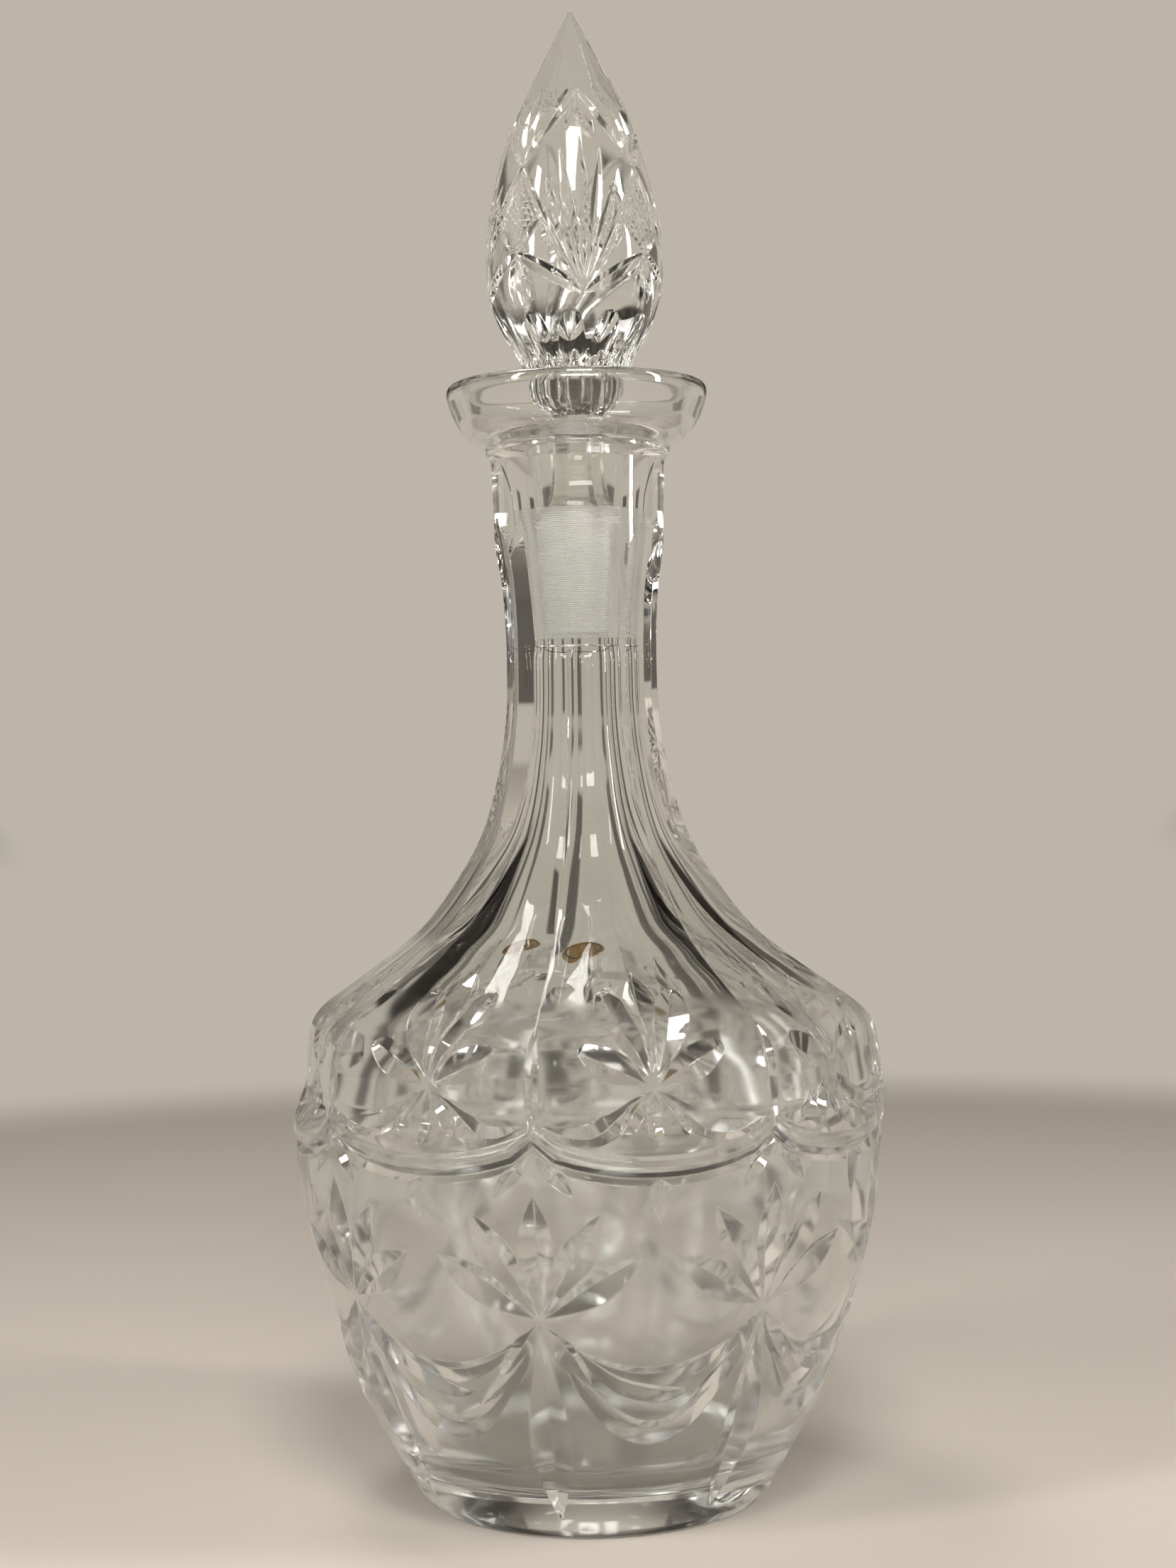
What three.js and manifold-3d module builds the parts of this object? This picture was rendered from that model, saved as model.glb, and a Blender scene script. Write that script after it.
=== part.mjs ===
// A cut crystal decanter with a ground stopper, in millimetres, +Z up, standing on Z = 0.
// The bottle is one hollow piece of glass: a round body, a rounded bead, a shoulder of flat panels that runs
// up into a panelled neck, a plain round band and a cupped lip. The stopper is a second, solid piece.
import * as THREE from 'three';
import * as BufferGeometryUtils from 'three/addons/utils/BufferGeometryUtils.js';
import Module from 'manifold-3d';

const wasm = await Module();
wasm.setup();

// Panels round the shoulder and neck, and where the first edge between them lies, in degrees from -Y to +X.
const panelCount = 8;
const firstEdgeAngle = -10;
const stepsPerPanel = 4;

// Body, from the flat base up to the groove under the bead.
const baseRadius = 40.5;
const heelRound = 1.8;
const lowerBodyRadius = 56;
const lowerBodyHeight = 26;
const midBodyRadius = 64.6;
const midBodyHeight = 55;
const bodyRadius = 70.2;
const bodyTopHeight = 89.6;
const bodyTopInset = 0.8;
const baseThickness = 11;
const floorDish = 1;
const floorCurve = [[0.45, 0.5]];
const bodyWall = 5.5;
const bodySteps = 8;

// Groove and bead: a rounded ridge that follows the scalloped foot of the panels. It droops under their
// middles, and the body below it takes up the droop over a fade. A point of the shape is [out from the
// body's radius, share of the bead's width].
const beadWidth = 4.6;
const grooveDepth = 1.2;
const beadShape = [[-grooveDepth, 0.1], [-0.3, 0.3], [0, 0.5], [-0.1, 0.75], [-0.8, 1]];
const beadDroop = 5;
const droopFade = 22;

// Shoulder: the edges between the panels, from the foot of the panels up to the foot of the neck. The curve
// is given as shares of the way in and of the way up.
const panelFootGap = 2.2;
const panelFootDroop = 3.2;
const panelFootFade = 9;
const shoulderCurve = [[0.013, 0.115], [0.042, 0.235], [0.158, 0.331], [0.522, 0.532], [0.853, 0.812]];
const shoulderWall = 4.6;
const shoulderSteps = 26;

// Wheel cuts: a flower under each edge of the panels, a fan in the middle of each panel, and swags from
// flower to flower. A leaf is [degrees from upright, length, width], and a swag is [sag, width]. The middle
// line of a cut lies outside the face, by a share of its depth.
const flowerHeight = 54;
const flowerLeaves = [[0, 28.5, 8.4], [-30, 28.5, 8.2], [30, 28.5, 8.2], [-57, 26.5, 8], [57, 26.5, 8]];
const longLeaf = [180, 54, 10.4];
const flowerDepth = 2.5;
const swags = [[13.5, 6.4], [26.5, 8.2]];
const swagDepth = 2.1;
const fanHeight = 103;
const fanLeaves = [[0, 31, 5.4], [-19, 28, 6.4], [19, 28, 6.4], [-55, 17, 6.2], [55, 17, 6.2]];
const fanDepth = 1.6;
const cutLift = 0.3;
const leafSteps = 4;
const swagSteps = 6;

// Neck: its slimmest part, the round band above the panels, and the bore down its middle.
const neckFlareRadius = 24.8;
const neckFlareHeight = 155;
const neckRadius = 18.2;
const neckLowHeight = 182;
const neckHighHeight = 206;
const bandRadius = 20.6;
const bandLowHeight = 230;
const bandHighHeight = 245;
const bandSwell = 0.6;
const panelArch = 10;
const boreRadius = 8.3;
const boreFlareRadius = 11;
const boreFlareHeight = 163;

// Lip: a cup with a rounded rim, open at the top, that narrows into the ground seat of the stopper.
const lipFootRadius = 21.6;
const lipRadius = 31;
const lipHeight = 16.5;
const lipWall = 4.2;
const lipStep = 0.8;
const lipBulge = 0.7;
const cupFloorHeight = 5;
const cupFloorRadius = 20.5;
const funnelRadius = 4;
const funnelDepth = 6;

// Stopper: a tapered ground plug, a waisted stem and a tall pointed finial. The curves between them are
// given as shares of the way across and of the way along.
const plugTopRadius = 9.5;
const plugBottomRadius = 7.6;
const plugLength = 25;
const plugTopHeight = 227;
const plugChamfer = 0.6;
const plugShoulder = 0.9;
const plugShoulderHeight = 1.6;
const seatClearance = 0.3;
const seatRise = 3;
const stemRadius = 5.9;
const stemHeight = 244;
const stemFootCurve = [[0.667, 0.416]];
const stemHeadCurve = [[0.147, 0.39]];
const finialFootRadius = 12.7;
const finialFootHeight = 267;
const finialRadius = 21.3;
const finialWidestHeight = 289.5;
const finialFootCurve = [[0.663, 0.311]];
const finialHeadCurve = [[0.312, 0.5]];
const finialKinkRadius = 12.8;
const finialKinkHeight = 327;
const finialTipRadius = 0.6;
const overallHeight = 350;
const stopperFacets = 8;
const stepsPerFacet = 4;
const stemSteps = 12;
const finialSteps = 20;

// Foil label: a blank oval stuck on the rear panel of the shoulder.
const labelWidth = 22;
const labelHeight = 13;
const labelThickness = 0.3;
const labelGap = 0.3;
const labelCentreHeight = 125;
const labelPanel = 4;
const labelRings = 4;
const labelSides = 24;

const panelAngle = 360 / panelCount;
const degree = Math.PI / 180;
const panelFlat = Math.cos((panelAngle / 2) * degree);
const panelFootHeight = bodyTopHeight + beadWidth + panelFootGap;
const plugBottomHeight = plugTopHeight - plugLength;

const crystal = new THREE.MeshStandardMaterial({
  name: 'lead crystal, fire polished',
  color: 0xe4e7e4,
  roughness: 0.04,
  metalness: 0,
});

const stopperCrystal = new THREE.MeshStandardMaterial({
  name: 'lead crystal, cut, with a ground plug',
  color: 0xe9ebe6,
  roughness: 0.06,
  metalness: 0,
});

const foil = new THREE.MeshStandardMaterial({
  name: 'gold foil',
  color: 0xa8823c,
  roughness: 0.35,
  metalness: 1,
});

// How far round from the middle of its facet an angle lies, in degrees.
function turnFromMiddle(angle, facetAngle, firstEdge) {
  const turns = (angle - firstEdge) / facetAngle;
  return (turns - Math.floor(turns) - 0.5) * facetAngle;
}

// A flat facet lies closer to the axis than its two edges: this is how much of the edge's radius is left.
function facetShare(angle, facetAngle, firstEdge, flatness) {
  const middle = turnFromMiddle(angle, facetAngle, firstEdge);
  const flat = Math.cos((facetAngle / 2) * degree) / Math.cos(middle * degree);
  return 1 - flatness * (1 - flat);
}

// Points between two others, each given as a share of the way across and of the way along.
function between(from, to, shares) {
  return shares.map(([across, along]) => {
    const radius = from[0] + (to[0] - from[0]) * across;
    const height = from[1] + (to[1] - from[1]) * along;
    return [radius, height];
  });
}

// Evenly spaced points on a smooth curve through the stations.
function smoothLine(stations, steps) {
  const curve = new THREE.SplineCurve(stations.map(([radius, height]) => new THREE.Vector2(radius, height)));
  return curve.getSpacedPoints(steps).map((point) => [point.x, point.y]);
}

// Points from one point to another that leave the first one upright or level. They lie on a quarter turn
// where the bulge is 1, and on a straight line where it is 0.
function quarter(from, to, steps, leavesUpright, bulge = 1) {
  const shares = [];
  for (let k = 1; k <= steps; k += 1) {
    const share = k / steps;
    const slow = share + bulge * (1 - Math.cos((Math.PI / 2) * share) - share);
    const fast = share + bulge * (Math.sin((Math.PI / 2) * share) - share);
    shares.push(leavesUpright ? [slow, fast] : [fast, slow]);
  }
  return between(from, to, shares);
}

// A profile turned about +Z. Its points are [radius, height, flatness, droop]: flatness is 0 on a round
// ring and 1 where the facets are flat, and droop is how much lower the ring lies at the middle of a facet.
function turned(points, facetAngle, firstEdge, segments) {
  const outline = points.map(([radius, height]) => new THREE.Vector2(radius, height));
  const geometry = new THREE.LatheGeometry(outline, segments, firstEdge * degree, Math.PI * 2);
  geometry.rotateX(Math.PI / 2);
  const place = geometry.attributes.position;
  for (let index = 0; index < place.count; index += 1) {
    const [, , flatness = 0, droop = 0] = points[index % points.length];
    const angle = firstEdge + (360 * Math.floor(index / points.length)) / segments;
    const share = facetShare(angle, facetAngle, firstEdge, flatness);
    const fromMiddle = (2 * turnFromMiddle(angle, facetAngle, firstEdge)) / facetAngle;
    place.setX(index, place.getX(index) * share);
    place.setY(index, place.getY(index) * share);
    place.setZ(index, place.getZ(index) - droop * (1 - fromMiddle * fromMiddle));
  }
  return welded(geometry);
}

// One closed skin: the seam and the poles are joined, and the empty triangles at the poles are left out.
function welded(geometry) {
  geometry.deleteAttribute('normal');
  geometry.deleteAttribute('uv');
  const skin = BufferGeometryUtils.mergeVertices(geometry, 1e-4);
  const corners = skin.index.array;
  const kept = [];
  for (let k = 0; k < corners.length; k += 3) {
    const [a, b, c] = [corners[k], corners[k + 1], corners[k + 2]];
    if (a !== b && b !== c && c !== a) {
      kept.push(a, b, c);
    }
  }
  skin.setIndex(kept);
  skin.computeVertexNormals();
  return skin;
}

// The body's outer face, from the heel up to the groove under the bead.
const bodyRings = smoothLine([
  [baseRadius + heelRound, heelRound],
  [lowerBodyRadius, lowerBodyHeight],
  [midBodyRadius, midBodyHeight],
  [bodyRadius - bodyTopInset, bodyTopHeight],
], bodySteps).map(([radius, height]) => {
  const share = THREE.MathUtils.smoothstep(height, bodyTopHeight - droopFade, bodyTopHeight);
  return [radius, height, 0, beadDroop * share];
});

// The groove and the bead, round rings that droop with the foot of the panels.
function beadRings() {
  return beadShape.map(([out, share]) => [bodyRadius + out, bodyTopHeight + beadWidth * share, 0, beadDroop]);
}

// The edges of the panels, from their foot up to the round band, where the panels end in arches.
const shoulderRings = smoothLine([
  [bodyRadius, panelFootHeight],
  ...between([bodyRadius, panelFootHeight], [neckFlareRadius, neckFlareHeight], shoulderCurve),
  [neckFlareRadius, neckFlareHeight],
  [neckRadius, neckLowHeight],
  [neckRadius, neckHighHeight],
  [bandRadius - bandSwell, bandLowHeight],
  [bandRadius, bandHighHeight],
], shoulderSteps).map(([radius, height]) => {
  const foot = 1 - THREE.MathUtils.smoothstep(height, panelFootHeight, panelFootHeight + panelFootFade);
  const arch = THREE.MathUtils.smoothstep(height, bandLowHeight - panelArch, bandLowHeight);
  return [radius, height, 1 - arch, panelFootDroop * foot];
});

// The lip's outer face, its rim, and the cup inside it down to the ground seat and the bore.
function lipAndSeatRings() {
  const lipTop = bandHighHeight + lipHeight;
  const foot = [lipFootRadius, bandHighHeight + lipStep];
  const rimOuter = [lipRadius, lipTop - lipWall / 2];
  const rimTop = [lipRadius - lipWall / 2, lipTop];
  const rimInner = [lipRadius - lipWall, lipTop - lipWall / 2];
  const cupFloor = [cupFloorRadius, bandHighHeight + cupFloorHeight];
  const taper = (plugTopRadius - plugBottomRadius) / plugLength;
  const seatRadius = plugTopRadius + taper * seatRise + seatClearance;
  return [
    foot,
    ...quarter(foot, rimOuter, 7, false, lipBulge),
    ...quarter(rimOuter, rimTop, 3, true),
    ...quarter(rimTop, rimInner, 3, false),
    ...quarter(rimInner, cupFloor, 5, true),
    [seatRadius + funnelRadius, bandHighHeight],
    [seatRadius + funnelRadius / 4, bandHighHeight - funnelDepth],
    [seatRadius, plugTopHeight + seatRise],
    [plugBottomRadius + seatClearance, plugBottomHeight],
    [boreRadius, plugBottomHeight - funnelDepth],
    [boreRadius, neckLowHeight],
    [boreFlareRadius, boreFlareHeight],
  ];
}

// The inside of the shoulder and body: the outer face less the wall, down to a dished floor.
function cavityRings() {
  const points = [];
  for (const [radius, height] of [...shoulderRings].reverse()) {
    const slope = THREE.MathUtils.smoothstep(height, panelFootHeight, neckFlareHeight);
    const inside = radius * panelFlat - shoulderWall;
    if (height < neckFlareHeight && inside > boreFlareRadius) {
      points.push([inside, height - shoulderWall * slope]);
    }
  }
  const upperWall = bodyRadius - bodyTopInset - bodyWall;
  points.push([(upperWall + bodyRadius * panelFlat - shoulderWall) / 2, bodyTopHeight]);
  points.push([upperWall, (bodyTopHeight * 2 + midBodyHeight) / 3]);
  points.push([midBodyRadius - bodyWall, midBodyHeight]);
  const turnIn = [lowerBodyRadius - bodyWall - heelRound, lowerBodyHeight];
  points.push(...between(points[points.length - 1], turnIn, floorCurve));
  points.push(turnIn);
  points.push(...quarter(turnIn, [baseRadius - bodyWall, baseThickness], 5, true));
  points.push([0, baseThickness - floorDish]);
  return points;
}

// The radius of a face at a height, on the straight run from one of its rings to the next.
function ringRadius(rings, height) {
  const above = Math.max(1, rings.findIndex((ring) => ring[1] >= height));
  const [lowRadius, lowHeight] = rings[above - 1];
  const [highRadius, highHeight] = rings[above];
  return lowRadius + ((highRadius - lowRadius) * (height - lowHeight)) / (highHeight - lowHeight);
}

// The outer face before the wheel cuts, as a point in space. It is round on the body and flat on a panel.
function skin(angle, height) {
  let radius = ringRadius(bodyRings, height);
  if (height > bodyTopHeight) {
    const middle = turnFromMiddle(angle, panelAngle, firstEdgeAngle);
    radius = (ringRadius(shoulderRings, height) * panelFlat) / Math.cos(middle * degree);
  }
  return new THREE.Vector3(radius * Math.sin(angle * degree), -radius * Math.cos(angle * degree), height);
}

// A straight way over the outer face, from a point and so many degrees from upright.
function leafWay(startAngle, startHeight, [lean, length]) {
  const way = [[startAngle, startHeight]];
  for (let k = 0; k < leafSteps; k += 1) {
    const [angle, height] = way[k];
    const here = skin(angle, height);
    const climb = skin(angle, height + 1).sub(skin(angle, height - 1)).normalize();
    const round = (length * Math.sin(lean * degree)) / leafSteps;
    const up = (length * Math.cos(lean * degree) * climb.z) / leafSteps;
    way.push([angle + round / Math.hypot(here.x, here.y) / degree, height + up]);
  }
  return way;
}

// The glass that a V-edged wheel takes out along a way: a spindle with four sides, pointed at both ends.
function wheelCut(way, width, depth) {
  const corners = [];
  const faces = [];
  way.forEach(([angle, height], k) => {
    const [fromAngle, fromHeight] = way[Math.max(k - 1, 0)];
    const [toAngle, toHeight] = way[Math.min(k + 1, way.length - 1)];
    const ahead = skin(toAngle, toHeight).sub(skin(fromAngle, fromHeight)).normalize();
    const round = skin(angle + 1, height).sub(skin(angle - 1, height));
    const climb = skin(angle, height + 1).sub(skin(angle, height - 1));
    const out = round.cross(climb).normalize();
    const across = ahead.clone().cross(out).normalize();
    const share = Math.sin((Math.PI * k) / (way.length - 1));
    const centre = skin(angle, height).addScaledVector(out, depth * cutLift);
    if (k === 0 || k === way.length - 1) {
      corners.push(centre);
      return;
    }
    corners.push(centre.clone().addScaledVector(across, (width / 2) * share));
    corners.push(centre.clone().addScaledVector(out, depth * share));
    corners.push(centre.clone().addScaledVector(across, (-width / 2) * share));
    corners.push(centre.clone().addScaledVector(out, -depth * share));
  });
  const last = corners.length - 1;
  for (let side = 0; side < 4; side += 1) {
    const next = (side + 1) % 4;
    faces.push(0, 1 + side, 1 + next, last, last - 4 + next, last - 4 + side);
    for (let k = 0; k < way.length - 3; k += 1) {
      const low = 1 + 4 * k;
      faces.push(low + side, low + 4 + next, low + next, low + side, low + 4 + side, low + 4 + next);
    }
  }
  return new THREE.BufferGeometry().setFromPoints(corners).setIndex(faces);
}

// Every cut on the body and the shoulder, as one solid.
function wheelCuts() {
  const cuts = [];
  for (let panel = 0; panel < panelCount; panel += 1) {
    const edge = firstEdgeAngle + panelAngle * panel;
    const middle = edge + panelAngle / 2;
    for (const leaf of [...flowerLeaves, longLeaf]) {
      cuts.push(wheelCut(leafWay(edge, flowerHeight, leaf), leaf[2], flowerDepth));
    }
    for (const leaf of fanLeaves) {
      cuts.push(wheelCut(leafWay(middle, fanHeight, leaf), leaf[2], fanDepth));
    }
    for (const [sag, width] of swags) {
      const way = [];
      for (let k = 0; k <= swagSteps; k += 1) {
        const share = (2 * k) / swagSteps - 1;
        way.push([middle + (panelAngle / 2) * share, flowerHeight - sag * (1 - share * share)]);
      }
      cuts.push(wheelCut(way, width, swagDepth));
    }
  }
  return cuts.map(solidOf).reduce((all, cut) => all.add(cut));
}

// A closed skin as a solid that can be cut.
function solidOf(geometry) {
  return new wasm.Manifold(new wasm.Mesh({
    numProp: 3,
    vertProperties: geometry.attributes.position.array,
    triVerts: new Uint32Array(geometry.index.array),
  }));
}

// The skin of a solid, ready for a mesh.
function geometryOf(solid) {
  const mesh = solid.getMesh();
  const geometry = new THREE.BufferGeometry();
  geometry.setAttribute('position', new THREE.BufferAttribute(new Float32Array(mesh.vertProperties), 3));
  geometry.setIndex(new THREE.BufferAttribute(new Uint32Array(mesh.triVerts), 1));
  geometry.computeVertexNormals();
  return geometry;
}

function bottleGeometry() {
  const points = [
    [0, 0],
    [baseRadius, 0],
    ...quarter([baseRadius, 0], [baseRadius + heelRound, heelRound], 2, false),
    ...bodyRings.slice(1),
    ...beadRings(),
    ...shoulderRings,
    ...lipAndSeatRings(),
    ...cavityRings(),
  ];
  const glass = turned(points, panelAngle, firstEdgeAngle, panelCount * stepsPerPanel);
  return geometryOf(solidOf(glass).subtract(wheelCuts()));
}

function stopperGeometry() {
  const plugShoulderPoint = [plugTopRadius - plugShoulder, plugTopHeight + plugShoulderHeight];
  const waist = [stemRadius, stemHeight];
  const foot = [finialFootRadius, finialFootHeight];
  const widest = [finialRadius, finialWidestHeight];
  const kink = [finialKinkRadius, finialKinkHeight];
  const stem = smoothLine([
    plugShoulderPoint,
    ...between(plugShoulderPoint, waist, stemFootCurve),
    waist,
    ...between(waist, foot, stemHeadCurve),
    foot,
  ], stemSteps);
  const finial = smoothLine([
    foot,
    ...between(foot, widest, finialFootCurve),
    widest,
    ...between(widest, kink, finialHeadCurve),
    kink,
    [finialTipRadius, overallHeight - finialTipRadius],
  ], finialSteps);
  const points = [
    [0, plugBottomHeight],
    [plugBottomRadius - plugChamfer, plugBottomHeight],
    [plugBottomRadius, plugBottomHeight + plugChamfer],
    [plugTopRadius, plugTopHeight],
    ...stem.map(([radius, height], index) => [radius, height, index === 0 ? 0 : 1]),
  ];
  for (const [radius, height] of finial.slice(1)) {
    const footFlat = 1 - THREE.MathUtils.smoothstep(height, finialFootHeight, finialWidestHeight);
    const headFlat = THREE.MathUtils.smoothstep(height, finialKinkHeight - stemRadius, finialKinkHeight);
    points.push([radius, height, Math.max(footFlat, headFlat)]);
  }
  points.push([0, overallHeight]);
  const firstFacetEdge = firstEdgeAngle + panelAngle / 2;
  return turned(points, 360 / stopperFacets, firstFacetEdge, stopperFacets * stepsPerFacet);
}

// An oval that follows the panel it is stuck on, with an even thickness and a thin gap of adhesive.
function labelGeometry() {
  const middle = firstEdgeAngle + panelAngle * (labelPanel + 0.5);
  const reach = ringRadius(shoulderRings, labelCentreHeight) * panelFlat;
  const low = ringRadius(shoulderRings, labelCentreHeight - labelHeight / 4);
  const high = ringRadius(shoulderRings, labelCentreHeight + labelHeight / 4);
  const slope = new THREE.Vector2((high - low) * panelFlat, labelHeight / 2).normalize();
  const outward = new THREE.Vector3(
    Math.sin(middle * degree) * slope.y,
    -Math.cos(middle * degree) * slope.y,
    -slope.x,
  );
  const corners = [];
  const faces = [];
  for (const offset of [labelGap, labelGap + labelThickness]) {
    for (let ring = 0; ring <= labelRings; ring += 1) {
      for (let side = 0; side < labelSides; side += 1) {
        const turn = (Math.PI * 2 * side) / labelSides;
        const across = ((labelWidth / 2) * ring * Math.cos(turn)) / labelRings;
        const along = ((labelHeight / 2) * ring * Math.sin(turn)) / labelRings;
        const height = labelCentreHeight + along * slope.y;
        const point = skin(middle + Math.atan2(across, reach) / degree, height);
        corners.push(point.addScaledVector(outward, offset));
      }
    }
  }
  const layer = (labelRings + 1) * labelSides;
  for (let ring = 0; ring < labelRings; ring += 1) {
    for (let side = 0; side < labelSides; side += 1) {
      const next = (side + 1) % labelSides;
      const a = ring * labelSides + side;
      const b = ring * labelSides + next;
      const c = (ring + 1) * labelSides + side;
      const d = (ring + 1) * labelSides + next;
      faces.push(a, b, d, a, d, c);
      faces.push(layer + a, layer + d, layer + b, layer + a, layer + c, layer + d);
    }
  }
  for (let side = 0; side < labelSides; side += 1) {
    const a = labelRings * labelSides + side;
    const b = labelRings * labelSides + ((side + 1) % labelSides);
    faces.push(a, b, layer + b, a, layer + b, layer + a);
  }
  const geometry = new THREE.BufferGeometry().setFromPoints(corners);
  geometry.setIndex(faces);
  return welded(geometry);
}

function piece(name, geometry, material) {
  const mesh = new THREE.Mesh(geometry, material);
  mesh.name = name;
  return mesh;
}

const decanter = new THREE.Group();
decanter.add(piece('bottle', bottleGeometry(), crystal));
decanter.add(piece('stopper', stopperGeometry(), stopperCrystal));
decanter.add(piece('foil_label', labelGeometry(), foil));

export default decanter;
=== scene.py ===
import math

import bpy
from mathutils import Matrix, Vector


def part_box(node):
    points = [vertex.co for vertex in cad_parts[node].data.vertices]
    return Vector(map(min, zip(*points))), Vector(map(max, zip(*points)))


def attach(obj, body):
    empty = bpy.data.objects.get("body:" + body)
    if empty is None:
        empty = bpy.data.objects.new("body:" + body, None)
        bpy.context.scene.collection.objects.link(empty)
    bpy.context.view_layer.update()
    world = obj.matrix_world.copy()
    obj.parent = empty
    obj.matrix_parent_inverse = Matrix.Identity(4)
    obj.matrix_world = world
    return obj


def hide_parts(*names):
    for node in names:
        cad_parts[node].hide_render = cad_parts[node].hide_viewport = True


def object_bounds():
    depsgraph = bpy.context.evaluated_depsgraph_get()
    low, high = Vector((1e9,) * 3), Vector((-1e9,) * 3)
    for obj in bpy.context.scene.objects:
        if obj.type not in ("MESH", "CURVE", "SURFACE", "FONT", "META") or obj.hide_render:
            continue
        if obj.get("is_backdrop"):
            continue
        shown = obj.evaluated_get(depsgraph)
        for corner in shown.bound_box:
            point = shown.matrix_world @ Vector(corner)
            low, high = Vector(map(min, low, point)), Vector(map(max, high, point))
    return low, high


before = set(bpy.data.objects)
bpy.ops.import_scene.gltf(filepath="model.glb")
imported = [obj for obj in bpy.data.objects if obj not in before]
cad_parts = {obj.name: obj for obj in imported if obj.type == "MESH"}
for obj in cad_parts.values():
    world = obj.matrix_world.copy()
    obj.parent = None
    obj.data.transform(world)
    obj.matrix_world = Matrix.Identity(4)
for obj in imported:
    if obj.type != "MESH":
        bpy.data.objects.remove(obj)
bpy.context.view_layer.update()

# Camera
# The picture is taken from half the height of the decanter and just over half a metre away, with the camera
# tipped down by less than a degree and rolled by one degree.
PICTURE_HEIGHT_PIXELS = 2212
FOCAL_PIXELS = 3330
FILM_LONG_SIDE = 36
CAMERA_PLACE = (0.0011, -0.562, 0.175)
TIP_DOWN = 0.826
ROLL = 1.018
camera_data = bpy.data.cameras.new("camera")
camera_data.sensor_width = FILM_LONG_SIDE
camera_data.lens = FILM_LONG_SIDE * FOCAL_PIXELS / PICTURE_HEIGHT_PIXELS
camera_data.clip_start = 0.01
camera_data.clip_end = 20
camera = bpy.data.objects.new("camera", camera_data)
bpy.context.scene.collection.objects.link(camera)
camera.matrix_world = (
    Matrix.Translation(CAMERA_PLACE)
    @ Matrix.Rotation(math.radians(90 - TIP_DOWN), 4, "X")
    @ Matrix.Rotation(math.radians(-ROLL), 4, "Z")
)
bpy.context.scene.camera = camera
bpy.context.scene.view_settings.view_transform = "Standard"

# Floor, room and light
# A plain pale floor that fades into pale walls a little way behind the object. The room is dark overhead
# and has eight dark posts between its walls, so that the edges and cuts of the glass show as dark and
# bright lines from any side.
FLOOR_SIZE = 12
FLOOR_COLOUR = 0xb3aba1
FLOOR_ROUGHNESS = 0.85
WALL_COLOUR = 0xbdb5a9
DARK_COLOUR = 0x14110f
# How far from the object, in metres, the floor turns into the walls, and the posts come up out of it.
FADE_NEAR = 0.58
FADE_FAR = 0.74
POSTS_NEAR = 3.0
POSTS_FAR = 5.5
# A post is at its darkest where the cosine of eight times the direction is below the post's edge, and gone
# where it is past the wall's.
POSTS = 8
POST_DARKNESS = 0.82
POST_EDGE = -0.8
WALL_EDGE = -0.5
# The walls reach up to the ceiling, given as sines of the elevation.
WALL_TOP = 0.32
CEILING = 0.46
LAMP_COLOUR = 0xfffcf8
# Light goes through many walls of cut glass before it leaves.
LIGHT_BOUNCES = 24
GLOSSY_BOUNCES = 12


def linear(hex_colour):
    """An sRGB hex colour, such as 0xe8e6e0, as the linear colour that a socket takes."""
    channels = [(hex_colour >> shift & 255) / 255 for shift in (16, 8, 0)]
    levels = [c / 12.92 if c <= 0.04045 else ((c + 0.055) / 1.055) ** 2.4 for c in channels]
    return (*levels, 1)


def node(material, kind, settings=(), links=()):
    """Adds a node: settings are values of its sockets or of the node, and links run from other sockets.

    A socket is given by name or by number. In a Map Range, 0 is the value, 1 and 2 are what it runs
    between, and 3 and 4 what that becomes. In a Mix of colours, 0 is the share of the second, 6 is the
    first and 7 the second.
    """
    made = material.node_tree.nodes.new(kind)
    for key, value in dict(settings).items():
        if isinstance(key, str) and hasattr(made, key):
            setattr(made, key, value)
        else:
            made.inputs[key].default_value = value
    for key, source in dict(links).items():
        material.node_tree.links.new(source, made.inputs[key])
    return made


def select_none():
    """Goes back to object mode with nothing selected, as an operator acts on all that is selected."""
    if bpy.context.mode != "OBJECT":
        bpy.ops.object.mode_set(mode="OBJECT")
    bpy.ops.object.select_all(action="DESELECT")


def post_darkness(material, axes):
    """How dark the posts make a direction, from 0 on a wall: the posts stand halfway between the walls."""
    turn = node(
        material, "ShaderNodeMath", {"operation": "ARCTAN2"},
        {0: axes.outputs["X"], 1: axes.outputs["Y"]},
    )
    turns = node(material, "ShaderNodeMath", {"operation": "MULTIPLY", 1: POSTS}, {0: turn.outputs[0]})
    wave = node(material, "ShaderNodeMath", {"operation": "COSINE"}, {0: turns.outputs[0]})
    return node(
        material, "ShaderNodeMapRange",
        {"interpolation_type": "SMOOTHSTEP", 1: POST_EDGE, 2: WALL_EDGE, 3: POST_DARKNESS, 4: 0},
        {0: wave.outputs[0]},
    )


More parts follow.
